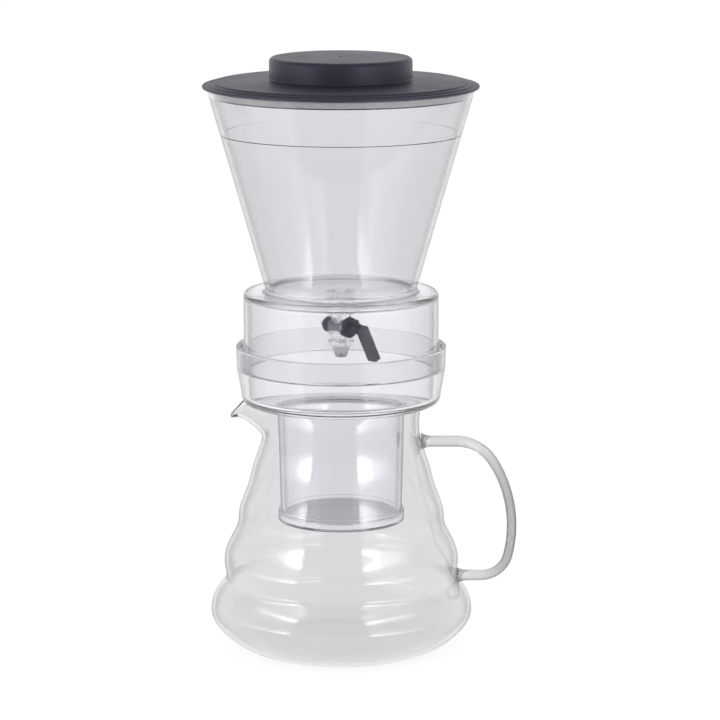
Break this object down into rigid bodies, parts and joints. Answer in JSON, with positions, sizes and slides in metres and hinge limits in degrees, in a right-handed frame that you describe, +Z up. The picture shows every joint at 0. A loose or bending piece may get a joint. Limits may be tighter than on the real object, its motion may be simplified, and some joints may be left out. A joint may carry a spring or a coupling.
{
  "type": "cold drip coffee tower",
  "caption": "Clear conical water tank with a drip tap and dark lid, on a clear basket dripper, over a wavy glass jug with a spout and a loop handle.",
  "frame": {"origin": "middle of the jug's flat base", "axes": "+Z up along the tower's axis, the spout points to -X and the handle to +X"},
  "size_m": [0.1556, 0.1354, 0.295],
  "materials": {
    "jug_glass": "clear borosilicate glass",
    "clear_plastic": "clear moulded styrene plastic",
    "filter_fabric": "fine woven polyester mesh",
    "seal_rubber": "translucent silicone",
    "plug_plastic": "blue-grey acetal",
    "lever_plastic": "satin black plastic",
    "tip_plastic": "smoky clear plastic",
    "lid_plastic": "satin charcoal polypropylene"
  },
  "bodies": {
    "jug": {"jug_body": "jug_glass", "jug_handle": "jug_glass"},
    "dripper": {"dripper": "clear_plastic", "filter_mesh": "filter_fabric", "filter_ring": "clear_plastic"},
    "tank": {"water_tank": "clear_plastic", "tap_washer": "seal_rubber", "tap_body": "clear_plastic", "drip_tip": "tip_plastic"},
    "valve": {"tap_plug": "plug_plastic", "tap_lever": "lever_plastic", "tap_end_cap": "lever_plastic"},
    "lid": {"lid": "lid_plastic"}
  },
  "joints": [
    {"name": "dripper_lift", "type": "slide", "parent": "jug", "child": "dripper", "axis": [0, 0, 1], "range_m": [0, 0.065]},
    {"name": "tank_lift", "type": "slide", "parent": "dripper", "child": "tank", "axis": [0, 0, 1], "range_m": [0, 0.02]},
    {"name": "lid_lift", "type": "slide", "parent": "tank", "child": "lid", "axis": [0, 0, 1], "range_m": [0, 0.02]},
    {"name": "tap_turn", "type": "hinge", "parent": "tank", "child": "valve", "pos_m": [0, 0, 0.162], "axis": [0.7071, -0.7071, 0], "range_deg": [-22, 68]}
  ]
}
